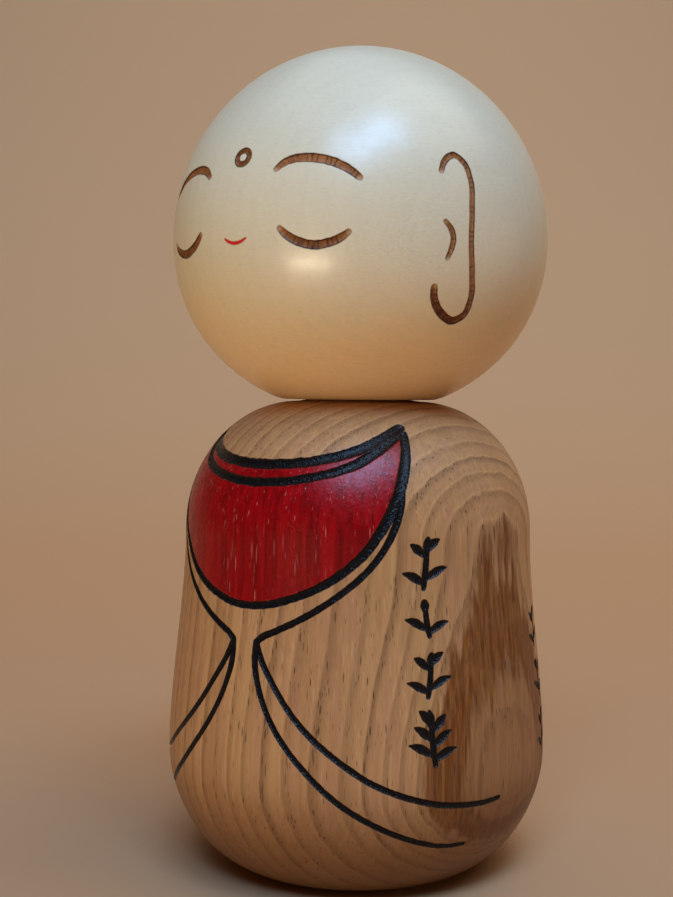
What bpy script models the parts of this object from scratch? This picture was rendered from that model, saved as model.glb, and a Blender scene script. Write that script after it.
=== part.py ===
"""Kokeshi doll in the style of a small praying monk: a turned ball head on a turned
barrel body, joined by a round wooden peg.

Metres, +Z up. The origin is the centre of the flat base. The doll's front faces -Y.
Every piece is turned about the Z axis, and the head swivels about the same axis.
"""

import math

import bmesh
import bpy

MM = 0.001

# Body, turned from one block. Heights are above the base.
BODY_HEIGHT = 72.4 * MM
BASE_FLAT_RADIUS = 16.6 * MM  # flat that the doll stands on
BELLY_RADIUS = 29.7 * MM  # widest place, low on the body
BELLY_HEIGHT = 17.8 * MM
BASE_CORNER_POWER = 1.11  # 1 is a plain quarter ellipse, above 1 is flatter
SHOULDER_RADIUS = 27.2 * MM  # where the wall turns into the shoulder dome
SHOULDER_DROP = 20.0 * MM  # height of the shoulder dome
TOP_FLAT_RADIUS = 9.5 * MM  # seat under the head

# Head, a ball a little taller above its widest place than below it.
JOINT_GAP = 0.3 * MM  # dry joint line between head and body
HEAD_RADIUS = 29.3 * MM
HEAD_WIDEST_HEIGHT = 97.4 * MM
HEAD_UPPER_HEIGHT = 29.95 * MM
HEAD_LOWER_HEIGHT = 26.9 * MM
HEAD_LOWER_SQUARENESS = 2.1  # superellipse exponent, 2 is a plain ellipse

# Neck peg and the two blind bores that hold it.
PEG_RADIUS = 4.0 * MM
PEG_IN_BODY = 13.0 * MM
PEG_IN_HEAD = 12.0 * MM
PEG_CHAMFER = 0.6 * MM
BORE_CLEARANCE = 0.3 * MM
BORE_END_ROOM = 0.8 * MM

TURNING_STEPS = 60  # facets round each turned piece
BORE_SIDES = 32

FACE_TURN = math.radians(-2.5)  # the head at rest, as it was pushed on

NECK_Z = BODY_HEIGHT + JOINT_GAP


def clear_scene():
    for obj in list(bpy.data.objects):
        bpy.data.objects.remove(obj, do_unlink=True)


def wood(name, colour, roughness):
    material = bpy.data.materials.new(name)
    material.use_nodes = True
    shader = material.node_tree.nodes["Principled BSDF"]
    shader.inputs["Base Color"].default_value = (*colour, 1.0)
    shader.inputs["Roughness"].default_value = roughness
    shader.inputs["Metallic"].default_value = 0.0
    material.diffuse_color = (*colour, 1.0)
    return material


def body_profile():
    """(radius, height) from the top centre, down the outside, to the base centre."""
    points = [(0.0, BODY_HEIGHT)]
    arc = 12
    for i in range(arc + 1):
        t = 0.5 * math.pi * i / arc
        radius = TOP_FLAT_RADIUS + (SHOULDER_RADIUS - TOP_FLAT_RADIUS) * math.sin(t)
        points.append((radius, BODY_HEIGHT - SHOULDER_DROP * (1 - math.cos(t))))
    wall = 7
    top = BODY_HEIGHT - SHOULDER_DROP
    for i in range(1, wall + 1):
        s = i / wall
        ease = s * s * (3 - 2 * s)
        radius = SHOULDER_RADIUS + (BELLY_RADIUS - SHOULDER_RADIUS) * ease
        points.append((radius, top + (BELLY_HEIGHT - top) * s))
    corner = 9
    for i in range(1, corner + 1):
        t = 0.5 * math.pi * i / corner
        across = math.cos(t) ** BASE_CORNER_POWER if i < corner else 0.0
        down = math.sin(t) ** BASE_CORNER_POWER
        radius = BASE_FLAT_RADIUS + (BELLY_RADIUS - BASE_FLAT_RADIUS) * across
        points.append((radius, BELLY_HEIGHT * (1 - down)))
    points.append((0.0, 0.0))
    return points


def head_profile():
    """(radius, height) from the crown, down the outside, to the centre of the seat."""
    points = []
    upper = 13
    for i in range(upper + 1):
        t = 0.5 * math.pi * i / upper
        points.append(
            (
                HEAD_RADIUS * math.sin(t),
                HEAD_WIDEST_HEIGHT + HEAD_UPPER_HEIGHT * math.cos(t),
            )
        )
    lower = 11
    cut = (HEAD_WIDEST_HEIGHT - NECK_Z) / HEAD_LOWER_HEIGHT
    last = math.asin(cut ** (HEAD_LOWER_SQUARENESS / 2))
    for i in range(1, lower + 1):
        t = last * i / lower
        across = math.cos(t) ** (2 / HEAD_LOWER_SQUARENESS)
        down = math.sin(t) ** (2 / HEAD_LOWER_SQUARENESS)
        points.append(
            (HEAD_RADIUS * across, HEAD_WIDEST_HEIGHT - HEAD_LOWER_HEIGHT * down)
        )
    points.append((0.0, NECK_Z))
    return points


def turned(name, profile, steps, material):
    """A piece turned about the Z axis from a profile that runs down its outside."""
    mesh = bpy.data.meshes.new(name)
    bm = bmesh.new()
    verts = [bm.verts.new((radius, 0.0, height)) for radius, height in profile]
    for above, below in zip(verts, verts[1:]):
        bm.edges.new((above, below))
    bm.to_mesh(mesh)
    bm.free()
    obj = bpy.data.objects.new(name, mesh)
    bpy.context.scene.collection.objects.link(obj)
    mesh.materials.append(material)
    screw = obj.modifiers.new("turning", "SCREW")
    screw.axis = "Z"
    screw.angle = 2 * math.pi
    screw.steps = steps
    screw.render_steps = steps
    screw.use_merge_vertices = True
    screw.merge_threshold = 0.00001
    screw.use_smooth_shade = True
    return obj


def bore(target, name, bottom, top):
    """Cuts a round blind bore on the Z axis out of a turned piece."""
    mesh = bpy.data.meshes.new(name)
    bm = bmesh.new()
    bmesh.ops.create_cone(
        bm,
        cap_ends=True,
        segments=BORE_SIDES,
        radius1=PEG_RADIUS + BORE_CLEARANCE,
        radius2=PEG_RADIUS + BORE_CLEARANCE,
        depth=top - bottom,
    )
    bm.to_mesh(mesh)
    bm.free()
    cutter = bpy.data.objects.new(name, mesh)
    bpy.context.scene.collection.objects.link(cutter)
    cutter.location = (0.0, 0.0, 0.5 * (bottom + top))
    cutter.hide_render = True
    cutter.display_type = "WIRE"
    cut = target.modifiers.new(name, "BOOLEAN")
    cut.operation = "DIFFERENCE"
    cut.solver = "EXACT"
    cut.object = cutter
    return cutter


def peg(name, material):
    bottom = BODY_HEIGHT - PEG_IN_BODY
    top = NECK_Z + PEG_IN_HEAD
    narrow = PEG_RADIUS - PEG_CHAMFER
    profile = [
        (0.0, top),
        (narrow, top),
        (PEG_RADIUS, top - PEG_CHAMFER),
        (PEG_RADIUS, bottom + PEG_CHAMFER),
        (narrow, bottom),
        (0.0, bottom),
    ]
    return turned(name, profile, BORE_SIDES, material)


clear_scene()

chestnut = wood("turned_chestnut", (0.43, 0.26, 0.14), 0.42)
cream = wood("lacquered_maple", (0.80, 0.68, 0.47), 0.28)
beech = wood("plain_beech", (0.62, 0.45, 0.28), 0.6)

body = turned("body", body_profile(), TURNING_STEPS, chestnut)
bore(body, "body_bore", BODY_HEIGHT - PEG_IN_BODY - BORE_END_ROOM, BODY_HEIGHT + 5 * MM)

neck_peg = peg("neck_peg", beech)

# The head's parent empty stands on the swivel axis, at the joint line.
swivel = bpy.data.objects.new("neck_swivel", None)
bpy.context.scene.collection.objects.link(swivel)
swivel.location = (0.0, 0.0, NECK_Z)
swivel.rotation_euler = (0.0, 0.0, FACE_TURN)

head = turned(
    "head",
    [(radius, height - NECK_Z) for radius, height in head_profile()],
    TURNING_STEPS,
    cream,
)
head.parent = swivel
socket = bore(head, "head_bore", -5 * MM, PEG_IN_HEAD + BORE_END_ROOM)
socket.parent = swivel
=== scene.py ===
"""Looks of the kokeshi doll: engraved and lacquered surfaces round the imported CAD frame."""

import math

import bpy
import numpy as np
from mathutils import Matrix, Vector, geometry, noise


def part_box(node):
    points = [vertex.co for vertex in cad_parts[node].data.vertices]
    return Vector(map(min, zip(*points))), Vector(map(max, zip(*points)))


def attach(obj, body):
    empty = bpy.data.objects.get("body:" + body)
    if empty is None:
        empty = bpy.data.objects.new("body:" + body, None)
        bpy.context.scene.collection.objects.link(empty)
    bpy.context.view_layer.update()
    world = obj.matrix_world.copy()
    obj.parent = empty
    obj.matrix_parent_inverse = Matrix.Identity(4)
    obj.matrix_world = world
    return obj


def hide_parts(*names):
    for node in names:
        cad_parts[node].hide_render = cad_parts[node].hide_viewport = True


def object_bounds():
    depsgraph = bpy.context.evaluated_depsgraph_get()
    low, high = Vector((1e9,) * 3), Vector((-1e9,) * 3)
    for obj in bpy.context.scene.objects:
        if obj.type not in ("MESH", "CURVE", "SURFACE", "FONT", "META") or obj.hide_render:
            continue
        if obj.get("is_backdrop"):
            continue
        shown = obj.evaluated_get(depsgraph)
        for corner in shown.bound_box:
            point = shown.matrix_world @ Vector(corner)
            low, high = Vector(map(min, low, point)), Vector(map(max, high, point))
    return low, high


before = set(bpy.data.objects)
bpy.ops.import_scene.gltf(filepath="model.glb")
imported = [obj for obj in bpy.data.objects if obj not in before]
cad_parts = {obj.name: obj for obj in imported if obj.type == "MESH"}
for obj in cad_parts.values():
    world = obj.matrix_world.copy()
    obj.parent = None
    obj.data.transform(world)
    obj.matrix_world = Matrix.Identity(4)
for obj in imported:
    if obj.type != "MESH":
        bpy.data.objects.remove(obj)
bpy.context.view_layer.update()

MM = 0.001
FACE_TURN = -2.5  # degrees, the head's turn at rest

# ---------------------------------------------------------------- profiles
# Heights and radii in millimetres, the same turned templates as the CAD pieces.
body_low, body_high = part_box("body")
head_low, head_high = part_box("head")
BODY_HEIGHT = body_high.z / MM
NECK_Z = head_low.z / MM
VIEW = 34.86  # degrees from the body's front, towards +X
CROWN_Z = head_high.z / MM
BASE_FLAT, BELLY_R, BELLY_Z, CORNER_POWER = 16.6, 29.7, 17.8, 1.11
SHOULDER_R, SHOULDER_DROP, TOP_FLAT = 27.2, 20.0, 9.5
HEAD_R, WIDEST_Z, HEAD_DOWN, HEAD_SQUARE = 29.3, 97.4, 26.9, 2.1
HEAD_UP = CROWN_Z - WIDEST_Z
BORE_R = 4.3


def body_outline():
    """(radius, height) up the outside of the body, from the base flat to the top flat."""
    t = np.linspace(0.5 * math.pi, 0.0, 160)
    across = np.clip(np.cos(t), 0, 1) ** CORNER_POWER
    corner = np.stack(
        [
            BASE_FLAT + (BELLY_R - BASE_FLAT) * across,
            BELLY_Z * (1 - np.sin(t) ** CORNER_POWER),
        ],
        1,
    )
    s = np.linspace(1, 0, 120)[1:]
    top = BODY_HEIGHT - SHOULDER_DROP
    wall = np.stack(
        [
            SHOULDER_R + (BELLY_R - SHOULDER_R) * s * s * (3 - 2 * s),
            top + (BELLY_Z - top) * s,
        ],
        1,
    )
    t = np.linspace(0.5 * math.pi, 0.0, 200)[1:]
    dome = np.stack(
        [
            TOP_FLAT + (SHOULDER_R - TOP_FLAT) * np.sin(t),
            BODY_HEIGHT - SHOULDER_DROP * (1 - np.cos(t)),
        ],
        1,
    )
    return np.concatenate([corner, wall, dome])


def head_outline():
    """(radius, height) up the outside of the head, from its seat to the crown."""
    last = math.asin(((WIDEST_Z - NECK_Z) / HEAD_DOWN) ** (HEAD_SQUARE / 2))
    t = np.linspace(last, 0.0, 200)
    lower = np.stack(
        [
            HEAD_R * np.cos(t) ** (2 / HEAD_SQUARE),
            WIDEST_Z - HEAD_DOWN * np.sin(t) ** (2 / HEAD_SQUARE),
        ],
        1,
    )
    t = np.linspace(0.5 * math.pi, 0.0, 200)[1:]
    upper = np.stack([HEAD_R * np.sin(t), WIDEST_Z + HEAD_UP * np.cos(t)], 1)
    return np.concatenate([lower, upper])


class Outline:
    """A turned surface, addressed by azimuth and by arc length up its outside."""

    def __init__(self, points):
        keep = np.concatenate([[True], np.diff(points[:, 1]) > 1e-7])
        points = points[keep]
        step = np.hypot(*np.diff(points, axis=0).T)
        self.s = np.concatenate([[0.0], np.cumsum(step)])
        self.r, self.z = points[:, 0], points[:, 1]
        self.dr = np.gradient(self.r, self.s)
        self.dz = np.gradient(self.z, self.s)

    def s_at(self, z):
        return np.interp(z, self.z, self.s)

    def radius(self, s):
        return np.interp(s, self.s, self.r)

    def place(self, azimuth, s, sink=0.0):
        """Points in millimetres. Azimuth 0 is -Y and grows towards +X."""
        r, z = self.radius(s), np.interp(s, self.s, self.z)
        nr, nz = np.interp(s, self.s, self.dz), -np.interp(s, self.s, self.dr)
        size = np.hypot(nr, nz)
        r, z = r - sink * nr / size, z - sink * nz / size
        return np.stack([r * np.sin(azimuth), -r * np.cos(azimuth), z], -1)


BODY = Outline(body_outline())
HEAD = Outline(head_outline())


# ---------------------------------------------------------------- strokes
class Stroke:
    """A carved line: its centre is a smooth curve through (azimuth in degrees, height) points, and hw is its half width at each."""

    def __init__(self, outline, points, hw, step=0.3, turn=0.0, closed=False, jitter=0.03, depth=0.55, deepest=0.32, burn=0.3):
        points = np.array(points, float)
        hw = np.full(len(points), hw) if np.isscalar(hw) else np.array(hw, float)
        azimuth = np.radians(points[:, 0] + turn)
        s = outline.s_at(points[:, 1])
        self.outline, self.closed = outline, closed
        self.depth, self.deepest = depth, deepest
        place = outline.place(azimuth, s)
        knots = np.concatenate([[0.0], np.cumsum(np.linalg.norm(np.diff(place, axis=0), axis=1))])
        count = max(4, int(round(knots[-1] / step)) + 1)
        t = np.linspace(0, knots[-1], count)
        self.azimuth = hermite(knots, azimuth, t, closed)
        self.s = hermite(knots, s, t, closed)
        self.hw = np.interp(t, knots, hw)
        self.along = t
        burn = np.full(len(points), burn) if np.isscalar(burn) else np.array(burn, float)
        if jitter:
            seed = 37.0 * float(np.sum(points[0]))
            for i, at in enumerate(t):
                self.hw[i] += jitter * noise.noise(Vector((at * 2.3, seed, 1.3)))
                self.s[i] += jitter * noise.noise(Vector((at * 1.6, seed, 7.7)))
        if closed:
            self.azimuth, self.s, self.hw, self.along = (v[:-1] for v in (self.azimuth, self.s, self.hw, self.along))
        # Fine samples of the same centre line, which distances are measured to.
        n = len(self.azimuth)
        ring = np.arange(n + 1) % n if closed else np.arange(n)
        fine = np.linspace(0, len(ring) - 1, (len(ring) - 1) * 4 + 1)
        whole = np.arange(len(ring))
        self.q = outline.place(
            np.interp(fine, whole, self.azimuth[ring]), np.interp(fine, whole, self.s[ring])
        )
        self.q_hw = np.interp(fine, whole, self.hw[ring])
        self.q_along = fine * (knots[-1] / max(1, len(ring) - 1))
        self.q_burn = np.interp(self.q_along, knots, burn)
        self.q_tip = np.full(len(fine), 9.0) if closed else np.minimum(self.q_along, knots[-1] - self.q_along)

    def frame(self):
        """Unit tangents in (millimetres of azimuth, millimetres of arc) at each station."""
        r = self.outline.radius(self.s)
        if self.closed:
            da = np.roll(self.azimuth, -1) - np.roll(self.azimuth, 1)
            ds = np.roll(self.s, -1) - np.roll(self.s, 1)
        else:
            da, ds = np.gradient(self.azimuth), np.gradient(self.s)
        tangent = np.stack([da * r, ds], 1)
        return tangent / np.linalg.norm(tangent, axis=1)[:, None], r

    def loops(self, radius):
        """Closed loops at this distance from the centre line, as (azimuth, s) arrays."""
        tangent, r = self.frame()
        normal = np.stack([-tangent[:, 1], tangent[:, 0]], 1)
        centre = np.stack([self.azimuth, self.s], 1)

        def shift(i, a, b):
            offset = a[:, None] * tangent[i] + b[:, None] * normal[i]
            return centre[i] + offset / np.stack([r[i], np.ones(len(r[i]))], 1)

        n = len(self.s)
        every = np.arange(n)
        zero = np.zeros(n)
        if self.closed:
            return [shift(every, zero, radius), shift(every, zero, -radius)]
        turn = np.linspace(0, math.pi, 7)[1:-1]
        last, first = np.full(len(turn), n - 1), np.zeros(len(turn), int)
        end = shift(last, radius[last] * np.sin(turn), radius[last] * np.cos(turn))
        start = shift(first, -radius[first] * np.sin(turn), -radius[first] * np.cos(turn))
        left = shift(every, zero, radius)
        right = shift(every[::-1], zero, -radius[::-1])
        return [np.concatenate([left, end, right, start])]


def hermite(knots, values, t, closed):
    """A smooth curve through the values, with the slopes of a Catmull-Rom spline for uneven knots."""
    gap = np.diff(knots)
    slope = np.diff(values) / gap
    m = np.empty(len(values))
    m[1:-1] = (slope[:-1] * gap[1:] + slope[1:] * gap[:-1]) / (gap[:-1] + gap[1:])
    if closed:
        m[0] = m[-1] = (slope[-1] * gap[0] + slope[0] * gap[-1]) / (gap[0] + gap[-1])
    else:
        m[0] = 1.5 * slope[0] - 0.5 * m[1] if len(values) > 2 else slope[0]
        m[-1] = 1.5 * slope[-1] - 0.5 * m[-2] if len(values) > 2 else slope[-1]
    i = np.clip(np.searchsorted(knots, t, side="right") - 1, 0, len(gap) - 1)
    u = (t - knots[i]) / gap[i]
    return (
        values[i] * (1 + 2 * u) * (1 - u) ** 2
        + gap[i] * m[i] * u * (1 - u) ** 2
        + values[i + 1] * u * u * (3 - 2 * u)
        - gap[i] * m[i + 1] * u * u * (1 - u)
    )


def distances(points, strokes, skip=-1):
    """For each point: signed distance to the nearest stroke's edge, its half width, its number, and (distance along it, burn, distance to its tip)."""
    n = len(points)
    sd, more = np.full(n, 3.0), np.zeros((n, 3))
    hw, which = np.ones(n), np.full(n, -1)
    for k, stroke in enumerate(strokes):
        if k == skip:
            continue
        low, high = stroke.q.min(0) - 3.5, stroke.q.max(0) + 3.5
        near = np.where(((points > low) & (points < high)).all(1))[0]
        for part in np.array_split(near, max(1, len(near) * len(stroke.q) // 4000000 + 1)):
            if not len(part):
                continue
            gap = np.linalg.norm(points[part][:, None] - stroke.q[None], axis=2) - stroke.q_hw
            best = gap.argmin(1)
            value = gap[np.arange(len(part)), best]
            closer = value < sd[part]
            at = part[closer]
            near_q = best[closer]
            sd[at], hw[at], which[at] = value[closer], stroke.q_hw[near_q], k
            more[at] = np.stack([stroke.q_along[near_q], stroke.q_burn[near_q], stroke.q_tip[near_q]], 1)
    return sd, hw, which, more


# ---------------------------------------------------------------- meshes
LABELS = ("edge_mm", "across", "along_mm", "burn", "tip_mm")
PLAIN = (3.0, 6.0, 0.0, 0.0, 9.0)  # their values far from any stroke


def carved(outline, strokes, z_low, z_high, columns, cell, caps_low, caps_high):
    """A turned body whose outside carries carved strokes.

    Between z_low and z_high the outside is a triangle mesh whose edges follow every
    stroke. Above and below it, rings of `columns` points close the solid. Returns the
    points, the triangles and per-point (sd, along, across) values.
    """
    s_low, s_high = float(outline.s_at(z_low)), float(outline.s_at(z_high))
    ref = float(outline.radius(0.5 * (s_low + s_high)))
    flat, edges, where = [], [], []

    def add(points):
        first = len(flat)
        flat.extend((float(a) * ref, float(s)) for a, s in points)
        return first

    for k, stroke in enumerate(strokes):
        before = strokes[:k]
        rows = [(f, None) for f in (0.3, 0.62, 0.88)] + [(1.0, None), (None, 0.09), (None, 0.34)]
        centre = np.stack([stroke.azimuth, stroke.s], 1)
        sets = [(centre, False, 0.05)]
        for share, extra in rows:
            radius = stroke.hw * share if share else stroke.hw + extra
            for loop in stroke.loops(radius):
                sets.append((loop, share == 1.0, 0.25 if extra else 0.04))
        for loop, edge, room in sets:
            keep = (loop[:, 1] > s_low + 0.2) & (loop[:, 1] < s_high - 0.2)
            if before:
                sd = distances(outline.place(loop[:, 0], loop[:, 1]), before)[0]
                keep &= sd > room
            first = add(loop[keep])
            if edge:
                number = np.full(len(loop), -1)
                number[keep] = first + np.arange(keep.sum())
                for a, b in zip(number, np.roll(number, -1)):
                    if a >= 0 and b >= 0:
                        edges.append((int(a), int(b)))
    rows = max(2, int(round((s_high - s_low) / (cell * 0.87))))
    across = max(8, int(round(2 * math.pi * ref / cell)))
    grid = []
    for j in range(1, rows):
        s = s_low + (s_high - s_low) * j / rows
        shift = 0.5 * (j % 2)
        for i in range(across):
            a = -math.pi + 2 * math.pi * (i + shift) / across
            if shift or i:
                grid.append((a, s))
        grid += [(-math.pi, s), (math.pi, s)]
    grid = np.array(grid)
    seam = np.abs(np.abs(grid[:, 0]) - math.pi) < 1e-9
    sd = distances(outline.place(grid[:, 0], grid[:, 1]), strokes)[0] if strokes else np.full(len(grid), 9.0)
    add(grid[(sd > 0.34 + 0.3 * cell) | seam])
    for s in (s_low, s_high):
        add([(-math.pi + 2 * math.pi * i / columns, s) for i in range(columns + 1)])
    made = geometry.delaunay_2d_cdt([Vector(p) for p in flat], edges, [], 0, 1e-5)
    verts = np.array([(v[0] / ref, v[1]) for v in made[0]])
    faces = np.array(made[2])
    azimuth, s = verts[:, 0], verts[:, 1]
    smooth = outline.place(azimuth, s)
    sd, hw, which, more = distances(smooth, strokes)
    share = np.clip((sd + hw) / hw, 0, None)
    deep = np.zeros(len(sd))
    for k, stroke in enumerate(strokes):
        mine = which == k
        deepest = np.minimum(stroke.depth * hw[mine], stroke.deepest)
        deep[mine] = deepest * np.clip(1 - share[mine] ** 2, 0, 1) ** 0.75
    points = outline.place(azimuth, s, deep)
    values = np.column_stack([np.clip(sd, -2, 3), np.clip(share, 0, 6), more])
    centre = smooth[faces].mean(1)
    face_sd, _, face_stroke, _ = distances(centre, strokes)
    face_stroke = np.where(face_sd < 0, face_stroke, -1)
    face_at = np.stack([azimuth[faces].mean(1), s[faces].mean(1)], 1)

    points, values, faces = list(points), list(values), [faces]
    tri_stroke, tri_at = [face_stroke], [face_at]
    for rings, up in ((caps_low, False), (caps_high, True)):
        base = len(points)
        rings = np.array(rings, float)
        angle = -math.pi + 2 * math.pi * np.arange(columns) / columns
        made_rings = []
        for r, z in rings:
            if r < 1e-9:
                points.append(np.array([0.0, 0.0, z]))
                values.append(np.array(PLAIN))
                made_rings.append(np.full(columns, base))
                base += 1
            else:
                points.extend(np.stack([r * np.sin(angle), -r * np.cos(angle), np.full(columns, z)], 1))
                values.extend([np.array(PLAIN)] * columns)
                made_rings.append(base + np.arange(columns))
                base += columns
        tris = []
        for a, b in zip(made_rings, made_rings[1:]):
            a2, b2 = np.roll(a, -1), np.roll(b, -1)
            quad = np.concatenate([np.stack([a, a2, b2], 1), np.stack([a, b2, b], 1)])
            tris.append(quad if up else quad[:, ::-1])
        tris = np.concatenate(tris)
        faces.append(tris)
        tri_stroke.append(np.full(len(tris), -1))
        tri_at.append(np.full((len(tris), 2), 1e3))
    points, values = np.array(points), np.array(values)
    faces, tri_stroke, tri_at = (np.concatenate(v) for v in (faces, tri_stroke, tri_at))
    _, first, index = np.unique(np.round(points, 4), axis=0, return_index=True, return_inverse=True)
    points, values = points[first], values[first]
    faces = index.reshape(-1)[faces]
    good = (faces[:, 0] != faces[:, 1]) & (faces[:, 1] != faces[:, 2]) & (faces[:, 0] != faces[:, 2])
    return points, faces[good], values, tri_stroke[good], tri_at[good]


def mesh_object(name, points, faces, values, materials, slots):
    mesh = bpy.data.meshes.new(name)
    mesh.from_pydata((points * MM).tolist(), [], faces.tolist())
    for material in materials:
        mesh.materials.append(material)
    mesh.polygons.foreach_set("material_index", np.asarray(slots, np.int32))
    for k, label in enumerate(LABELS):
        layer = mesh.attributes.new(label, "FLOAT", "POINT")
        layer.data.foreach_set("value", values[:, k].astype(np.float32))
    mesh.shade_smooth()
    mesh.update()
    obj = bpy.data.objects.new(name, mesh)
    bpy.context.scene.collection.objects.link(obj)
    return obj


# ---------------------------------------------------------------- the drawn lines
def mirrored(points):
    return [(-a, z) for a, z in points]


def both(points):
    """A stroke that crosses the middle: the given right half, and its mirror."""
    return mirrored(points[:0:-1]) + list(points)


neckline = [(0, 63.4), (10, 63.55), (20, 64.05), (30, 65.0), (38, 66.1), (46.2, 67.6), (52.4, 68.75)]
neckline_low = [(0, 60.85), (12.7, 61.25), (21, 61.9), (28.7, 62.75), (35, 63.8), (42.3, 65.7), (48.9, 67.4)]
bib = [(0, 43.3), (6, 43.5), (12, 44.2), (18, 45.2), (25, 46.8), (32, 49.1), (36.8, 51.2), (41.3, 54.1), (44.8, 56.9), (47.4, 59.4), (49.6, 62.0), (51.8, 65.0), (53.0, 68.0)]
collar = [(48.9, 60.2), (47.7, 57.3), (45.6, 54.4), (42.4, 51.6), (37.6, 48.7), (32, 46.3), (25.1, 43.9), (18, 41.8), (10.6, 40.0), (6.0, 38.9), (4.4, 38.2)]
robe_upper = [(4.4, 38.0), (6.6, 35.6), (10.8, 32.4), (16.4, 28.7), (22.2, 25.7), (28, 23.3), (32.9, 21.5), (38, 19.8), (44.5, 18.2), (51.4, 16.9), (58.7, 15.9), (66.7, 15.35), (73.9, 15.15), (79.7, 15.3)]
robe_lower = [(4.3, 38.2), (4.2, 35.4), (5.9, 32.0), (10.0, 27.6), (15.6, 23.7), (21.3, 20.6), (27.2, 17.8), (32.6, 15.7), (37.9, 14.0), (45, 12.1), (52.6, 10.5), (61, 9.3), (69.4, 9.0)]


def leaf(azimuth, z, length, lean, width, r=28.8):
    """A leaf as one tapered stroke, from its stalk to its tip."""
    out = []
    for f in (0.0, 0.25, 0.5, 0.75, 1.0):
        along = length * f
        side = math.sin(math.radians(lean)) * along
        rise = math.cos(math.radians(lean)) * along + 0.3 * length * f * (1 - f)
        out.append((azimuth + math.degrees(side / r), z + rise))
    return out, [0.22, 0.85 * width, width, 0.66 * width, 0.12]


def sprig(azimuth, z_low, z_high, pairs, lean, size=1.0):
    """One small sprig: a short bent stalk, leaves in turn on each side and one at the top."""
    tall = z_high - z_low
    stalk = [(azimuth - 0.6 * lean, z_low), (azimuth, z_low + 0.3 * tall), (azimuth + 0.5 * lean, z_low + 0.72 * tall)]
    strokes = [(stalk, [0.36 * size, 0.5 * size, 0.4 * size])]
    for i in range(pairs):
        f = 0.12 + 0.56 * i / max(1, pairs - 1)
        for side in (-1, 1):
            at = f + (0.06 if side * lean > 0 else -0.04)
            length = size * (3.7 - 1.0 * i / max(1, pairs - 1))
            strokes.append(leaf(azimuth + side * 0.4, z_low + at * tall, length, side * (64 - 12 * i), 0.66 * size))
    strokes.append(leaf(azimuth + 0.5 * lean, z_low + 0.68 * tall, 0.34 * tall, 6 * lean, 0.7 * size))
    return strokes


black = []
black.append(Stroke(BODY, both(neckline), both_hw := [0.8, 0.92, 0.9, 0.85, 0.82, 0.82, 0.82, 0.82, 0.82, 0.85, 0.9, 0.92, 0.8], jitter=0.11))
black.append(Stroke(BODY, both(neckline_low), [0.85, 0.9, 0.82, 0.74, 0.7, 0.7, 0.7, 0.7, 0.7, 0.74, 0.82, 0.9, 0.85], jitter=0.1))
bib_hw = [0.55, 0.55, 0.56, 0.58, 0.6, 0.64, 0.68, 0.74, 0.82, 0.86, 0.86, 0.76, 0.66]
black.append(Stroke(BODY, both(bib), bib_hw[:0:-1] + bib_hw, jitter=0.08))
for side in (lambda p: p, mirrored):
    black.append(Stroke(BODY, side(collar), [0.5, 0.6, 0.56, 0.5, 0.48, 0.47, 0.47, 0.47, 0.48, 0.5, 0.5], jitter=0.05))
    black.append(Stroke(BODY, side(robe_lower), [0.52, 0.52, 0.47] + [0.44] * 8 + [0.42, 0.36], jitter=0.04))
    black.append(Stroke(BODY, side(robe_upper), [0.5, 0.48] + [0.45] * 10 + [0.42, 0.36], jitter=0.04))
sprigs = sprig(55.4, 46.3, 53.4, 2, 1, 1.0) + sprig(55.8, 39.6, 44.6, 1, -1, 0.95) + sprig(56.0, 31.2, 37.2, 2, 1, 0.95) + sprig(56.6, 21.6, 29.2, 3, -1, 1.0)
sprigs += sprig(109, 35.2, 41.0, 2, 1, 0.85) + sprig(110, 27.4, 33.0, 2, -1, 0.85) + sprig(110.5, 19.2, 25.2, 2, 1, 0.85)
for points, hw in sprigs:
    black.append(Stroke(BODY, points, hw, step=0.25, jitter=0.05, depth=0.5, deepest=0.28))

brow = [(12.9, 104.8), (15.2, 105.7), (18.5, 106.2), (22.5, 106.25), (26.7, 105.95), (30.6, 105.35), (34.1, 104.45), (37.1, 103.3)]
eye = [(14.9, 96.5), (16.4, 95.75), (18.4, 95.05), (21.2, 94.45), (24.7, 94.1), (28.9, 94.4), (31.9, 95.0), (34.2, 95.8)]
mouth = [(-3.7, 95.45), (-2.1, 95.0), (0.2, 94.8), (2.3, 95.0), (3.9, 95.4)]
ear = [(60.6, 104.7), (62.3, 106.3), (65.2, 107.1), (68.2, 106.2), (69.9, 103.7), (69.7, 99.7), (69.6, 94.8), (71.0, 90.6), (72.4, 87.2), (71.4, 84.9), (68.0, 84.1), (63.6, 84.9), (59.8, 87.0), (59.2, 88.6)]
ear_inner = [(61.2, 97.6), (63.2, 96.3), (63.7, 95.2), (63.3, 94.0), (62.2, 92.6)]

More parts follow.
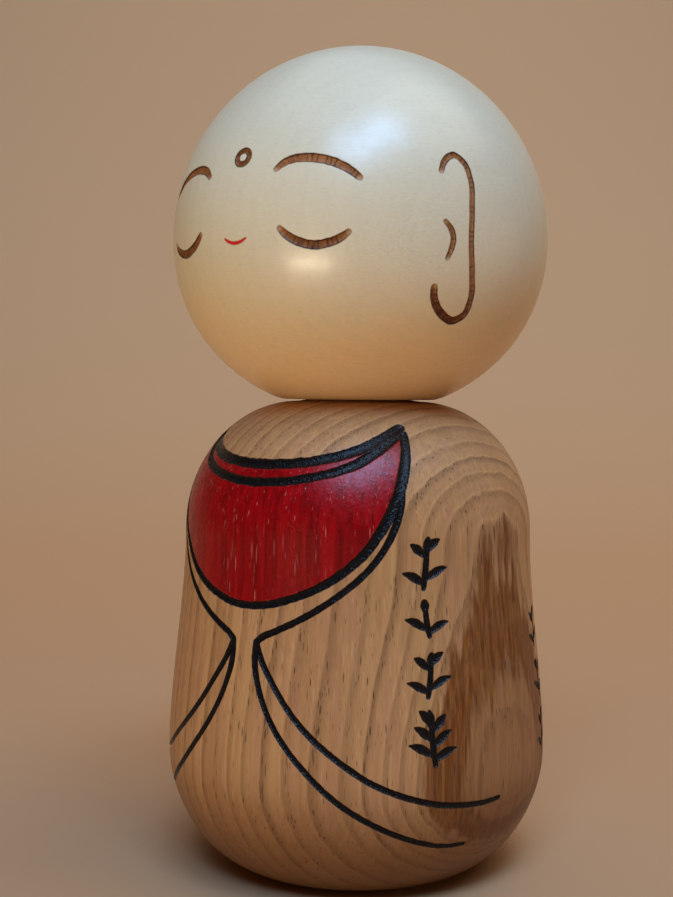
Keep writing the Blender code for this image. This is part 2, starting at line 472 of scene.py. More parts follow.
burnt = []
for side in (lambda p: p, mirrored):
    burnt.append(Stroke(HEAD, side(brow), [0.42, 0.58, 0.64, 0.66, 0.66, 0.64, 0.6, 0.46], step=0.22, turn=FACE_TURN, jitter=0.05, depth=0.6, deepest=0.36, burn=[0.2, 0.3, 0.35, 0.2, 0.15, 0.25, 0.3, 0.15]))
    burnt.append(Stroke(HEAD, side(eye), [0.4, 0.55, 0.6, 0.62, 0.62, 0.6, 0.55, 0.42], step=0.22, turn=FACE_TURN, jitter=0.05, depth=0.6, deepest=0.36, burn=[0.15, 0.3, 0.5, 0.6, 0.6, 0.55, 0.45, 0.2]))
    burnt.append(Stroke(HEAD, side(ear), [0.42, 0.46, 0.48, 0.47, 0.45, 0.44, 0.44, 0.46, 0.5, 0.56, 0.6, 0.6, 0.56, 0.5], step=0.22, turn=FACE_TURN, jitter=0.05, depth=0.6, deepest=0.34, burn=[0.35, 0.3, 0.25, 0.1, 0.05, 0.1, 0.0, 0.1, 0.3, 0.7, 0.9, 0.95, 0.8, 0.3]))
    burnt.append(Stroke(HEAD, side(ear_inner), [0.34, 0.42, 0.44, 0.42, 0.34], step=0.22, turn=FACE_TURN, jitter=0.04, depth=0.6, deepest=0.3, burn=[0.1, 0.3, 0.15, 0.2, 0.3]))
ring = [(0.4 + math.degrees(1.08 * math.sin(a) / 27.4), 107.0 + 1.02 * math.cos(a)) for a in np.linspace(0, 2 * math.pi, 13)]
burnt.append(Stroke(HEAD, ring, 0.45, step=0.2, turn=FACE_TURN, closed=True, jitter=0.03, depth=0.6, deepest=0.3, burn=0.7))
burnt.append(Stroke(HEAD, mouth, [0.12, 0.2, 0.23, 0.2, 0.12], step=0.16, turn=FACE_TURN, jitter=0.02, depth=0.25, deepest=0.05))
MOUTH = len(burnt) - 1


# ---------------------------------------------------------------- node helpers
class Nodes:
    def __init__(self, name):
        self.material = bpy.data.materials.new(name)
        self.material.use_nodes = True
        self.tree = self.material.node_tree
        self.tree.nodes.clear()
        self.shader = self.new("ShaderNodeBsdfPrincipled")
        out = self.new("ShaderNodeOutputMaterial")
        self.tree.links.new(self.shader.outputs[0], out.inputs[0])

    def new(self, kind, **settings):
        node = self.tree.nodes.new(kind)
        for key, value in settings.items():
            setattr(node, key, value)
        return node

    def put(self, socket, value):
        if isinstance(value, bpy.types.NodeSocket):
            self.tree.links.new(value, socket)
        elif value is not None:
            if isinstance(value, tuple) and len(value) == 3 and socket.type == "RGBA":
                value = (*value, 1.0)
            socket.default_value = value

    def math(self, op, a, b=None, c=None, clamp=False):
        node = self.new("ShaderNodeMath", operation=op, use_clamp=clamp)
        for socket, value in zip(node.inputs, (a, b, c)):
            self.put(socket, value)
        return node.outputs[0]

    def vec(self, op, a, b=None, scale=None):
        node = self.new("ShaderNodeVectorMath", operation=op)
        self.put(node.inputs[0], a)
        self.put(node.inputs[1], b)
        if scale is not None:
            self.put(node.inputs["Scale"], scale)
        return node.outputs["Value" if op in ("LENGTH", "DOT_PRODUCT", "DISTANCE") else "Vector"]

    def xyz(self, x, y, z):
        node = self.new("ShaderNodeCombineXYZ")
        for socket, value in zip(node.inputs, (x, y, z)):
            self.put(socket, value)
        return node.outputs[0]

    def split(self, v):
        node = self.new("ShaderNodeSeparateXYZ")
        self.put(node.inputs[0], v)
        return node.outputs

    def ramp(self, value, low, high, out_low=0.0, out_high=1.0, smooth=True):
        node = self.new("ShaderNodeMapRange", interpolation_type="SMOOTHSTEP" if smooth else "LINEAR", clamp=True)
        for socket, given in zip(node.inputs, (value, low, high, out_low, out_high)):
            self.put(socket, given)
        return node.outputs[0]

    def mix(self, share, a, b, mode="MIX"):
        node = self.new("ShaderNodeMix", data_type="RGBA", blend_type=mode, clamp_factor=True)
        self.put(node.inputs[0], share)
        self.put(node.inputs[6], a)
        self.put(node.inputs[7], b)
        return node.outputs[2]

    def noise(self, v, scale=1.0, detail=2.0, rough=0.5, kind="3D"):
        node = self.new("ShaderNodeTexNoise", noise_dimensions=kind)
        self.put(node.inputs["Vector"], v)
        self.put(node.inputs["Scale"], scale)
        self.put(node.inputs["Detail"], detail)
        self.put(node.inputs["Roughness"], rough)
        return node.outputs["Fac"]

    def voronoi(self, v, scale=1.0, random=1.0):
        node = self.new("ShaderNodeTexVoronoi", feature="F1")
        self.put(node.inputs["Vector"], v)
        self.put(node.inputs["Scale"], scale)
        self.put(node.inputs["Randomness"], random)
        return node.outputs["Distance"], node.outputs["Color"]

    def attribute(self, name):
        return self.new("ShaderNodeAttribute", attribute_name=name).outputs["Fac"]

    def mm(self):
        """The point on the object, in millimetres in its own frame."""
        coords = self.new("ShaderNodeTexCoord").outputs["Object"]
        return self.vec("SCALE", coords, scale=1000.0)

    def bump(self, height_mm, strength=1.0, normal=None):
        node = self.new("ShaderNodeBump")
        node.inputs["Strength"].default_value = strength
        node.inputs["Distance"].default_value = 0.001
        self.put(node.inputs["Height"], height_mm)
        if normal is not None:
            self.put(node.inputs["Normal"], normal)
        return node.outputs[0]

    def finish(self, colour, roughness, normal=None, **constants):
        self.put(self.shader.inputs["Base Color"], colour)
        self.put(self.shader.inputs["Roughness"], roughness)
        if normal is not None:
            self.put(self.shader.inputs["Normal"], normal)
        for key, value in constants.items():
            self.shader.inputs[key.replace("_", " ")].default_value = value
        return self.material


class Grain:
    """Ring-porous wood cut from one side of a trunk, as values at each point."""

    def __init__(self, n):
        self.p = p = n.mm()
        x, y, z = n.split(p)
        self.z = z
        self.raw = raw = n.vec("LENGTH", n.xyz(n.math("ADD", x, 42.84), n.math("ADD", y, -3.75), 0.0))
        waves = n.noise(n.vec("MULTIPLY", p, (0.05, 0.05, 0.013)), 1.0, 2.0)
        ripple = n.noise(n.vec("MULTIPLY", p, (0.4, 0.4, 0.05)), 1.0, 1.0)
        swing = n.math("MULTIPLY", n.math("SUBTRACT", waves, 0.5), n.ramp(raw, 60.0, 68.0, 2.4, 0.8))
        far = n.math("ADD", raw, n.math("MULTIPLY_ADD", n.math("SUBTRACT", ripple, 0.5), 0.5, swing))
        late_growth = n.math("MAXIMUM", n.math("SUBTRACT", far, 64.0), 0.0)
        count = n.math("MULTIPLY_ADD", far, 0.4, n.math("MULTIPLY", n.math("MULTIPLY", late_growth, late_growth), 0.06))
        self.place = place = n.math("FRACT", count)
        year = n.math("FLOOR", count)
        chance = n.new("ShaderNodeTexWhiteNoise", noise_dimensions="1D")
        n.put(chance.inputs["W"], year)
        self.chance = chance.outputs["Value"]
        self.strong = n.math("MAXIMUM", n.math("COMPARE", year, 23.0, 0.5), n.math("COMPARE", year, 27.0, 0.5))
        self.early = n.math("MULTIPLY", n.ramp(place, 0.0, 0.07), n.ramp(place, 0.2, 0.5, 1.0, 0.0))
        self.row = n.math("MULTIPLY", n.ramp(place, 0.0, 0.05), n.ramp(place, 0.12, 0.3, 1.0, 0.0))
        self.rim = n.math("MULTIPLY", n.ramp(place, 0.8, 0.93), n.ramp(place, 0.95, 1.0, 1.0, 0.0))
        self.fibres = n.noise(n.vec("MULTIPLY", p, (5.0, 5.0, 0.04)), 1.0, 3.0, 0.65)
        self.streaks = n.noise(n.vec("MULTIPLY", p, (1.3, 1.3, 0.014)), 1.0, 3.0, 0.55)
        self.broad = n.noise(n.vec("MULTIPLY", p, (0.2, 0.2, 0.012)), 1.0, 2.0)

    def vessels(self, n, scale, low, high, density, shift=0.0):
        """Open vessels as long thin cells: how much of one is here, and two random values of it."""
        at = n.vec("ADD", n.vec("MULTIPLY", self.p, scale), (shift, shift, shift))
        distance, cell = n.voronoi(at)
        r, g, b = n.split(cell)
        inside = n.ramp(distance, low, high, 1.0, 0.0)
        return n.math("MULTIPLY", inside, n.math("LESS_THAN", r, density)), g, b


def wood_body():
    n = Nodes("varnished_chestnut")
    w = Grain(n)
    light, dark = (0.625, 0.312, 0.125), (0.315, 0.134, 0.047)
    tone = n.math("MULTIPLY_ADD", w.early, 0.12, 0.40)
    tone = n.math("ADD", tone, n.math("MULTIPLY", n.math("SUBTRACT", w.streaks, 0.5), 0.75))
    tone = n.math("ADD", tone, n.math("MULTIPLY", n.math("SUBTRACT", w.fibres, 0.5), 0.8))
    tone = n.math("ADD", tone, n.math("MULTIPLY", n.math("SUBTRACT", w.broad, 0.5), 0.6))
    tone = n.math("ADD", tone, n.math("MULTIPLY", n.math("SUBTRACT", w.chance, 0.5), 0.2))
    tone = n.math("ADD", tone, n.math("MULTIPLY", w.rim, n.ramp(w.z, 44.0, 56.0, -0.1, -0.25)), clamp=True)
    colour = n.mix(tone, light, dark)
    # Bands of pinker and of yellower wood follow the fibres.
    tint = n.noise(n.vec("ADD", n.vec("MULTIPLY", w.p, (0.55, 0.55, 0.014)), (9.0, 4.0, 2.0)), 1.0, 2.0)
    colour = n.mix(n.ramp(tint, 0.5, 0.68, 0.0, 0.45), colour, (0.50, 0.225, 0.108))
    colour = n.mix(n.ramp(tint, 0.46, 0.3, 0.0, 0.4), colour, (0.56, 0.30, 0.10))
    # A few bright straight fibres.
    cream = n.noise(n.vec("ADD", n.vec("MULTIPLY", w.p, (3.0, 3.0, 0.02)), (3.0, 8.0, 5.0)), 1.0, 2.0)
    colour = n.mix(n.ramp(cream, 0.6, 0.72, 0.0, 0.28), colour, (0.76, 0.46, 0.21))
    colour = n.mix(n.math("MULTIPLY", w.early, n.math("MULTIPLY_ADD", w.strong, 0.2, 0.22)), colour, (0.29, 0.14, 0.056))
    # The outermost wood is stained a deep reddish brown, paler again past it, in flames along the fibres.
    flames = n.noise(n.vec("MULTIPLY", w.p, (0.7, 0.7, 0.06)), 1.0, 3.0, 0.6)
    reach = n.math("ADD", w.raw, n.math("MULTIPLY", n.math("SUBTRACT", flames, 0.5), 2.0))
    stain = n.math("MULTIPLY", n.ramp(reach, 69.95, 70.4), n.ramp(reach, 71.4, 71.8, 1.0, 0.5))
    lick = n.noise(n.vec("MULTIPLY", w.p, (2.0, 2.0, 0.07)), 1.0, 3.0, 0.6)
    stain = n.math("MULTIPLY", stain, n.ramp(lick, 0.38, 0.66, 1.0, 0.8))
    flame = n.noise(n.vec("ADD", n.vec("MULTIPLY", w.p, (1.5, 1.5, 0.05)), (5.0, 2.0, 7.0)), 1.0, 3.0, 0.6)
    colour = n.mix(stain, colour, n.mix(n.ramp(flame, 0.42, 0.66), (0.16, 0.035, 0.0025), (0.275, 0.09, 0.014)))
    dark_wood = (0.085, 0.036, 0.016)
    vigour = n.math("MAXIMUM", n.math("MULTIPLY_ADD", w.chance, 0.7, 0.15), w.strong)
    colour = n.mix(n.math("MULTIPLY", n.math("MULTIPLY", w.row, vigour), n.ramp(w.z, 46.0, 58.0, 0.42, 0.22)), colour, (0.24, 0.11, 0.044))
    density = n.math("MULTIPLY_ADD", w.row, n.math("MULTIPLY", vigour, 0.9), n.math("MULTIPLY_ADD", w.early, 0.2, 0.05))
    pores, g, b = w.vessels(n, (2.9, 2.9, 0.24), 0.13, 0.33, density)
    weight = n.math("MULTIPLY_ADD", n.math("MULTIPLY", g, g), 0.45, n.math("MULTIPLY_ADD", vigour, 0.35, 0.3))
    colour = n.mix(n.math("MULTIPLY", pores, weight), colour, dark_wood)
    small, g, b = w.vessels(n, (3.6, 3.6, 0.42), 0.12, 0.3, n.math("MULTIPLY_ADD", w.early, 0.4, 0.2), 3.7)
    colour = n.mix(n.math("MULTIPLY", small, n.math("MULTIPLY_ADD", g, 0.42, 0.12)), colour, dark_wood)
    pale, g, b = w.vessels(n, (3.6, 3.6, 0.4), 0.06, 0.2, 0.14, 8.1)
    colour = n.mix(n.math("MULTIPLY", pale, n.math("MULTIPLY", g, 0.4)), colour, (0.62, 0.41, 0.23))
    # Painted shade: the wood is darkened towards the foot, where less light reaches the base.
    colour = n.mix(n.ramp(w.z, 23.0, 4.0, 0.0, 0.78), colour, (0.14, 0.05, 0.0145))
    # Lacquer that crept a little past the edge of a carved line.
    edge = n.attribute("edge_mm")
    colour = n.mix(n.ramp(edge, 0.0, 0.1, 0.7, 0.0), colour, (0.03, 0.014, 0.008))
    height = n.math("MULTIPLY", pores, -0.08)
    height = n.math("ADD", height, n.math("MULTIPLY", small, -0.05))
    height = n.math("ADD", height, n.math("MULTIPLY", w.fibres, 0.02))
    rough = n.math("ADD", n.ramp(w.fibres, 0.3, 0.7, 0.36, 0.46), n.math("MULTIPLY", pores, 0.2))
    return n.finish(colour, rough, n.bump(height), Specular_IOR_Level=0.37)


def red_paint():
    n = Nodes("red_bib_paint")
    w = Grain(n)
    red, deep = (0.37, 0.002, 0.004), (0.18, 0.0012, 0.002)
    tone = n.math("MULTIPLY_ADD", n.math("SUBTRACT", w.streaks, 0.5), 2.8, 0.42)
    tone = n.math("ADD", tone, n.math("MULTIPLY", n.math("SUBTRACT", w.fibres, 0.5), 1.4))
    tone = n.math("ADD", tone, n.math("MULTIPLY", n.math("SUBTRACT", w.broad, 0.5), 0.8), clamp=True)
    colour = n.mix(tone, red, deep)
    bare = n.noise(n.vec("MULTIPLY", w.p, (0.8, 0.8, 0.03)), 1.0, 2.0)
    # Paint that bridged or missed the open vessels shows as pale dashes, and filled ones as dark ones.
    density = n.math("MULTIPLY", n.ramp(bare, 0.42, 0.56, 0.1, 0.9), 1.0)
    dash, g, b = w.vessels(n, (3.0, 3.0, 0.16), 0.08, 0.3, density, 1.4)
    colour = n.mix(n.math("MULTIPLY", dash, n.math("MULTIPLY_ADD", n.math("MULTIPLY", g, g), 0.75, 0.06)), colour, (0.74, 0.26, 0.19))
    short, g, b = w.vessels(n, (3.9, 3.9, 0.34), 0.08, 0.26, n.math("MULTIPLY", density, 0.6), 6.3)
    colour = n.mix(n.math("MULTIPLY", short, n.math("MULTIPLY_ADD", g, 0.4, 0.04)), colour, (0.7, 0.24, 0.18))
    filled, g, b = w.vessels(n, (2.8, 2.8, 0.16), 0.08, 0.24, 0.2, 9.2)
    colour = n.mix(n.math("MULTIPLY", filled, n.math("MULTIPLY_ADD", g, 0.6, 0.1)), colour, (0.09, 0.001, 0.002))
    height = n.math("MULTIPLY", dash, -0.03)
    height = n.math("ADD", height, n.math("MULTIPLY", n.noise(w.p, 2.4, 3.0, 0.6), 0.035))
    height = n.math("ADD", height, n.math("MULTIPLY", w.fibres, 0.015))
    rough = n.ramp(n.noise(w.p, 1.5, 2.0), 0.3, 0.7, 0.25, 0.34)
    return n.finish(colour, rough, n.bump(height), Specular_IOR_Level=0.32)


def black_lacquer():
    n = Nodes("black_line_lacquer")
    p = n.mm()
    across = n.attribute("across")
    patch = n.noise(p, 1.1, 2.0)
    colour = n.mix(n.ramp(patch, 0.4, 0.75, 0.0, 0.6), (0.005, 0.0045, 0.005), (0.012, 0.008, 0.007))
    thin = n.math("MULTIPLY", n.ramp(across, 0.7, 1.0), n.ramp(patch, 0.35, 0.65, 0.1, 0.9))
    colour = n.mix(thin, colour, (0.03, 0.014, 0.008))
    lumps, cell = n.voronoi(p, 1.9)
    height = n.math("MULTIPLY", n.noise(p, 2.4, 3.0, 0.65), 0.14)
    height = n.math("ADD", height, n.math("MULTIPLY", n.ramp(lumps, 0.0, 0.5, 1.0, 0.0), 0.06))
    rough = n.ramp(n.noise(p, 4.0, 2.0), 0.35, 0.65, 0.16, 0.3)
    return n.finish(colour, rough, n.bump(height), Specular_IOR_Level=0.22)


def cream_head():
    n = Nodes("satin_cream_lacquer")
    p = n.mm()
    x, y, z = n.split(p)
    mottle = n.noise(n.vec("MULTIPLY", p, (0.09, 0.09, 0.05)), 1.0, 3.0)
    # Painted light: the ball is painted amber low down, standing in for warm light bounced up onto it from below, and
    # goes over to plain cream above.
    level = n.math("ADD", z, n.math("MULTIPLY", n.math("SUBTRACT", mottle, 0.5), 8.0))
    colour = n.mix(n.ramp(level, 72.0, 96.0), (0.90, 0.57, 0.29), (0.82, 0.655, 0.405))
    colour = n.mix(n.ramp(level, 92.0, 116.0), colour, (0.785, 0.69, 0.49))
    colour = n.mix(n.ramp(mottle, 0.35, 0.65, 0.0, 0.18), colour, (0.72, 0.58, 0.36))
    # Growth rings, faint, and the fine concentric figure where one is cut flat beside each ear.
    rings = n.vec("LENGTH", n.xyz(n.math("ADD", x, 60.0), n.math("ADD", y, -22.0), 0.0))
    rings = n.math("ADD", rings, n.math("MULTIPLY", mottle, 3.0))
    place = n.math("FRACT", n.math("MULTIPLY", rings, 0.45))
    line = n.math("MULTIPLY", n.ramp(place, 0.1, 0.9), n.ramp(place, 0.92, 1.0, 1.0, 0.0))
    colour = n.mix(n.math("MULTIPLY", line, 0.07), colour, (0.60, 0.48, 0.31))
    ripple = n.noise(n.vec("MULTIPLY", p, (0.5, 0.5, 0.7)), 1.0, 2.0)
    figure = None
    for side in (1, -1):
        a = math.radians(57.5 * side + FACE_TURN)
        spot = n.vec("SUBTRACT", p, (HEAD_R * math.sin(a), -HEAD_R * math.cos(a), 95.0))
        away = n.vec("LENGTH", n.vec("MULTIPLY", spot, (0.6, 0.6, 1.0)))
        wave = n.math("SINE", n.math("MULTIPLY", n.math("ADD", away, n.math("MULTIPLY", ripple, 2.4)), 11.0))
        wave = n.math("MULTIPLY", wave, n.math("MULTIPLY", n.ramp(away, 0.6, 2.0), n.ramp(away, 4.0, 9.0, 1.0, 0.0)))
        figure = wave if figure is None else n.math("ADD", figure, wave)
    broken = n.ramp(n.noise(n.vec("MULTIPLY", p, (0.8, 0.8, 2.2)), 1.0, 2.0), 0.4, 0.62)
    figure = n.math("MULTIPLY", figure, broken)
    colour = n.mix(n.ramp(figure, 0.0, 1.0, 0.0, 0.17), colour, (0.56, 0.45, 0.30))
    colour = n.mix(n.ramp(figure, 0.0, -1.0, 0.0, 0.16), colour, (0.90, 0.84, 0.72))
    # Fine flecks all over, longer round the ball than up it.
    grain = n.noise(n.vec("MULTIPLY", p, (1.3, 1.3, 3.6)), 1.0, 2.0)
    colour = n.mix(n.ramp(grain, 0.52, 0.72, 0.0, 0.2), colour, (0.58, 0.47, 0.32))
    colour = n.mix(n.ramp(grain, 0.46, 0.28, 0.0, 0.14), colour, (0.90, 0.84, 0.72))
    speck, cell = n.voronoi(n.vec("MULTIPLY", p, (3.4, 3.4, 1.2)))
    specks = n.math("MULTIPLY", n.ramp(speck, 0.06, 0.22, 1.0, 0.0), n.math("LESS_THAN", n.split(cell)[1], 0.3))
    colour = n.mix(n.math("MULTIPLY", specks, 0.1), colour, (0.5, 0.38, 0.25))
    edge = n.attribute("edge_mm")
    colour = n.mix(n.ramp(edge, 0.0, 0.16, 0.6, 0.0), colour, (0.26, 0.12, 0.045))
    height = n.math("MULTIPLY", n.noise(p, 0.7, 2.0), 0.022)
    height = n.math("ADD", height, n.math("MULTIPLY", n.noise(n.vec("MULTIPLY", p, (0.5, 0.5, 3.0)), 1.0, 2.0), 0.008))
    rough = n.ramp(n.noise(p, 0.8, 2.0), 0.3, 0.7, 0.3, 0.37)
    return n.finish(colour, rough, n.bump(height), Coat_Weight=0.2, Coat_Roughness=0.22)


def burnt_line():
    n = Nodes("burnt_engraving")
    p = n.mm()
    across, along = n.attribute("across"), n.attribute("along_mm")
    burn, tip = n.attribute("burn"), n.attribute("tip_mm")
    patch = n.noise(p, 1.4, 3.0, 0.6)
    cuts = n.noise(n.xyz(n.math("MULTIPLY", along, 1.5), n.math("MULTIPLY", across, 0.4), 0.0), 1.0, 2.0)
    depth = n.math("ADD", burn, n.math("MULTIPLY_ADD", n.math("SUBTRACT", patch, 0.5), 1.2, n.math("MULTIPLY", n.math("SUBTRACT", cuts, 0.5), 0.9)), clamp=True)
    colour = n.mix(depth, (0.44, 0.165, 0.05), (0.12, 0.032, 0.009))
    # Chatter of the cutter: narrow ridges across the groove.
    wobble = n.math("ADD", along, n.math("MULTIPLY", n.noise(p, 1.6, 1.0), 0.5))
    chatter = n.math("SINE", n.math("MULTIPLY", wobble, 9.0))
    marks = n.math("MULTIPLY", n.ramp(chatter, 0.55, 1.0), n.ramp(cuts, 0.36, 0.56))
    colour = n.mix(n.math("MULTIPLY", marks, 0.75), colour, (0.05, 0.016, 0.006))
    # Dark edges on both sides of the groove: partly scorch, partly painted shade on the groove's walls.
    rim = n.math("ADD", across, n.math("MULTIPLY", n.math("SUBTRACT", patch, 0.5), 0.3))
    colour = n.mix(n.ramp(rim, 0.66, 0.9, 0.0, 0.9), colour, (0.035, 0.013, 0.006))
    # The cutter lifts out at each end, where the wood is barely scorched.
    colour = n.mix(n.ramp(tip, -0.35, 0.5, 0.9, 0.0), colour, (0.62, 0.40, 0.22))
    height = n.math("MULTIPLY", marks, -0.03)
    height = n.math("ADD", height, n.math("MULTIPLY", n.noise(p, 4.0, 3.0, 0.6), 0.05))
    return n.finish(colour, 0.46, n.bump(height), Specular_IOR_Level=0.22)


def mouth_paint():
    n = Nodes("red_mouth_paint")
    p = n.mm()
    colour = n.mix(n.noise(p, 2.0, 2.0), (0.80, 0.012, 0.008), (0.66, 0.01, 0.01))
    return n.finish(colour, 0.34, n.bump(n.math("MULTIPLY", n.noise(p, 4.0), 0.01)), Coat_Weight=0.2, Coat_Roughness=0.2)


def beech_peg():
    n = Nodes("sanded_beech")
    p = n.mm()
    fibres = n.noise(n.vec("MULTIPLY", p, (2.2, 2.2, 0.12)), 1.0, 3.0)
    colour = n.mix(fibres, (0.66, 0.49, 0.31), (0.50, 0.33, 0.19))
    fleck, cell = n.voronoi(n.vec("MULTIPLY", p, (2.4, 2.4, 0.5)))
    colour = n.mix(n.ramp(fleck, 0.08, 0.24, 0.35, 0.0), colour, (0.34, 0.19, 0.1))
    return n.finish(colour, n.ramp(fibres, 0.3, 0.7, 0.5, 0.62), n.bump(n.math("MULTIPLY", fibres, 0.02)))


def stage_material():
    n = Nodes("pale_backdrop")
    p = n.mm()
    colour = n.mix(n.noise(p, 0.004, 1.0), (0.60, 0.43, 0.27), (0.585, 0.42, 0.262))
    # Painted shade: the floor is painted darker and warmer in front of and round the doll, paler towards the back wall,
    # standing in for dimmer, warmer light near the doll.
    away = n.math("ADD", n.math("MULTIPLY", n.split(p)[0], -math.sin(math.radians(VIEW))), n.math("MULTIPLY", n.split(p)[1], math.cos(math.radians(VIEW))))
    colour = n.mix(n.ramp(away, 950.0, 150.0, 0.0, 1.0), colour, (0.56, 0.31, 0.15))
    return n.finish(colour, 0.75)


# ---------------------------------------------------------------- body
def outline_rings(outline, z_from, z_to, count):
    """Rings along the outside, evenly spaced by arc length."""
    s = np.linspace(float(outline.s_at(z_from)), float(outline.s_at(z_to)), count)
    return [(float(outline.radius(v)), float(np.interp(v, outline.s, outline.z))) for v in s]


COLUMNS = 168
bore_floor = BODY_HEIGHT - 13.8
low = outline_rings(BODY, 1.6, 0.0, 9)
low += [(BASE_FLAT - 0.5, 0.0), (12.0, 0.0), (7.0, 0.0), (3.0, 0.0), (0.0, 0.0)]
high = outline_rings(BODY, 71.6, BODY_HEIGHT, 5)
high[-1] = (TOP_FLAT, BODY_HEIGHT)
# The two flats meet in use, with only a hair of air between them.
meet = BODY_HEIGHT + 0.26
high += [(8.9, BODY_HEIGHT + 0.12), (8.2, meet - 0.02), (7.4, meet), (BORE_R + 0.35, meet), (BORE_R, BODY_HEIGHT - 0.35)]
high += [(BORE_R, BODY_HEIGHT - 7), (BORE_R, bore_floor), (2.2, bore_floor), (0.0, bore_floor)]
points, faces, values, stroke_of, at = carved(BODY, black, 1.6, 71.6, COLUMNS, 1.1, low, high)


def between(outline, top, bottom, at):
    """Which of the (azimuth, s) places lie between two mirrored lines across the front."""
    degrees = np.abs(np.degrees(at[:, 0]))
    top, bottom = np.array(top), np.array(bottom)
    s_top = np.interp(degrees, top[:, 0], outline.s_at(top[:, 1]))
    order = np.argsort(bottom[:, 0])
    s_bottom = np.interp(degrees, bottom[order, 0], outline.s_at(bottom[order, 1]))
    return (degrees < 53.0) & (at[:, 1] < s_top) & (at[:, 1] > s_bottom)


slots = np.zeros(len(faces), int)
slots[between(BODY, neckline, bib, at)] = 1
slots[stroke_of >= 0] = 2
body = mesh_object("body_turned_block", points, faces, values, [wood_body(), red_paint(), black_lacquer()], slots)
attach(body, "torso")
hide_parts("body")

# ---------------------------------------------------------------- head
socket_top = NECK_Z + 12.8
low = outline_rings(HEAD, 79.0, NECK_Z, 12)
edge_r = low[-1][0]
low[-1] = (edge_r - 0.25, NECK_Z + 0.03)
low += [(edge_r - 0.7, NECK_Z), (9.0, NECK_Z), (6.5, NECK_Z), (BORE_R + 0.35, NECK_Z), (BORE_R, NECK_Z + 0.35)]
low += [(BORE_R, NECK_Z + 7), (BORE_R, socket_top), (2.2, socket_top), (0.0, socket_top)]
high = outline_rings(HEAD, 112.5, CROWN_Z, 24)
high[-1] = (0.0, CROWN_Z)
points, faces, values, stroke_of, at = carved(HEAD, burnt, 79.0, 112.5, COLUMNS, 1.1, low, high)
slots = np.where(stroke_of == MOUTH, 2, np.where(stroke_of >= 0, 1, 0))
head = mesh_object("head_turned_ball", points, faces, values, [cream_head(), burnt_line(), mouth_paint()], slots)
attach(head, "head")
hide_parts("head")

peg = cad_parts["neck_peg"]
peg.data.materials.clear()
peg.data.materials.append(beech_peg())

# ---------------------------------------------------------------- stage
profile = [(-1.6, -0.0002), (-0.4, -0.0002), (0.1, -0.0002), (0.42, -0.0002)]
for i in range(1, 17):
    t = 0.5 * math.pi * i / 16
    profile.append((0.42 + 0.6 * math.sin(t), -0.0002 + 0.6 * (1 - math.cos(t))))
profile.append((1.02, 1.6))
back = Vector((math.sin(math.radians(180 + 34.86)), -math.cos(math.radians(180 + 34.86)), 0.0))
side = Vector((back.y, -back.x, 0.0))
verts, quads = [], []
for v, z in profile:
    for u in (-2.2, -0.7, 0.0, 0.7, 2.2):
        verts.append(back * v + side * u + Vector((0, 0, z)))
for j in range(len(profile) - 1):
    for i in range(4):
        a = j * 5 + i
        quads.append((a, a + 5, a + 6, a + 1))
mesh = bpy.data.meshes.new("pale_floor")
mesh.from_pydata(verts, [], quads)
mesh.materials.append(stage_material())
mesh.shade_smooth()
floor = bpy.data.objects.new("pale_floor", mesh)
bpy.context.scene.collection.objects.link(floor)
floor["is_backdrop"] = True

# ---------------------------------------------------------------- camera
FOCAL, LONG_SIDE = 1368.0, 897.0
distance, height = 217.47, 74.45
yaw, pitch, roll = (math.radians(v) for v in (-0.915, 2.532, 0.452))
forward = Vector((math.sin(yaw) * math.cos(pitch), math.cos(yaw) * math.cos(pitch), -math.sin(pitch)))
right = Vector((math.cos(yaw), -math.sin(yaw), 0.0))
up = right.cross(forward)
right, up = right * math.cos(roll) + up * math.sin(roll), up * math.cos(roll) - right * math.sin(roll)
turn = Matrix.Rotation(math.radians(VIEW), 3, "Z")
axes = Matrix((turn @ right, turn @ up, -(turn @ forward))).transposed()
camera_data = bpy.data.cameras.new("camera")
camera_data.sensor_width = 36.0
camera_data.lens = FOCAL / LONG_SIDE * 36.0
camera_data.clip_start, camera_data.clip_end = 0.01, 20.0
camera = bpy.data.objects.new("camera", camera_data)
camera.matrix_world = Matrix.Translation(turn @ Vector((0.0, -distance * MM, height * MM))) @ axes.to_4x4()
bpy.context.scene.collection.objects.link(camera)
bpy.context.scene.camera = camera


# ---------------------------------------------------------------- light
def area(name, azimuth, elevation, distance, size, power, colour, aim=(0.0, 0.0, 0.09)):
    """A soft light, placed by its direction from the point it aims at. Azimuth 0 is the camera's side."""
    a, e = math.radians(azimuth + VIEW), math.radians(elevation)
    direction = Vector((math.sin(a) * math.cos(e), -math.cos(a) * math.cos(e), math.sin(e)))
    data = bpy.data.lights.new(name, "AREA")
    data.shape = "RECTANGLE"
    data.size, data.size_y = size
    data.energy = power
    data.color = colour
    light = bpy.data.objects.new(name, data)
    light.location = Vector(aim) + direction * distance
    light.rotation_mode = "QUATERNION"
    light.rotation_quaternion = (-direction).to_track_quat("-Z", "Y")
    light.visible_camera = False
    bpy.context.scene.collection.objects.link(light)
    return light


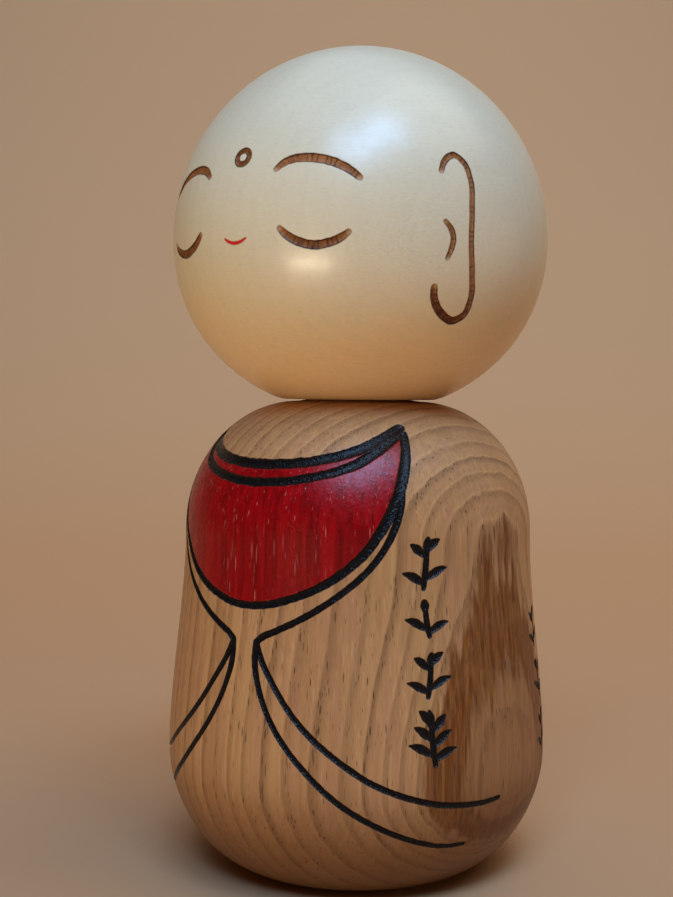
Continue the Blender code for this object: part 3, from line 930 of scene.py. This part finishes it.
area("window_left", -5, 48, 0.8, (0.30, 0.25), 3.5, (0.32, 0.58, 1.0))
area("window_right", 22, 58, 0.8, (0.25, 0.25), 2.75, (0.32, 0.58, 1.0))
area("overhead", 150, 84, 1.0, (1.2, 1.2), 2.41, (1.0, 0.8, 0.7), aim=(0, 0, 0.05))
area("right", 78, 60, 0.9, (0.7, 0.7), 2.0, (1.0, 0.95, 0.8))
lamp = area("lamp", -36.5, -13.5, 0.30, (0.075, 0.05), 0.272, (1.0, 0.82, 0.52), aim=(0, 0, 0.097))
area("low_right", 80, 2, 0.5, (0.4, 0.16), 0.15, (1.0, 0.62, 0.38), aim=(0, 0, 0.085))
wall = Vector((math.sin(math.radians(180 + VIEW)), -math.cos(math.radians(180 + VIEW)), 0.0))
area("backdrop", 0, 25, 0.8, (1.4, 0.3), 2.6, (1.0, 0.86, 0.72), aim=wall * 0.98 + Vector((0, 0, 0.3)))

# The low lamp stands for one that only reaches the ball past the edge of a table.
lit = bpy.data.collections.new("lamp_reaches")
lit.objects.link(head)
lamp.light_linking.receiver_collection = lit
lamp.visible_glossy = False
glint = area("glint", -28.5, -21.0, 0.30, (0.12, 0.07), 0.78, (1.0, 0.86, 0.62), aim=(0, 0, 0.097))
glint.light_linking.receiver_collection = lit
glint.visible_diffuse = False
fill = area("fill", -36.5, -6, 0.32, (0.16, 0.08), 0.30, (1.0, 0.80, 0.50), aim=(0, 0, 0.07))
filled = bpy.data.collections.new("fill_reaches")
filled.objects.link(body)
fill.light_linking.receiver_collection = filled
fill.visible_glossy = False

world = bpy.data.worlds.new("studio")
bpy.context.scene.world = world
world.use_nodes = True
tree = world.node_tree
background = tree.nodes["Background"]
background.inputs["Color"].default_value = (1.0, 0.8, 0.6, 1.0)
background.inputs["Strength"].default_value = 0.04
seen = tree.nodes.new("ShaderNodeBackground")
seen.inputs["Color"].default_value = (0.34, 0.25, 0.18, 1.0)
either = tree.nodes.new("ShaderNodeMixShader")
ray = tree.nodes.new("ShaderNodeLightPath")
tree.links.new(ray.outputs["Is Camera Ray"], either.inputs[0])
tree.links.new(background.outputs[0], either.inputs[1])
tree.links.new(seen.outputs[0], either.inputs[2])
tree.links.new(either.outputs[0], tree.nodes["World Output"].inputs[0])
bpy.context.scene.view_settings.view_transform = "Standard"

low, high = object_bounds()
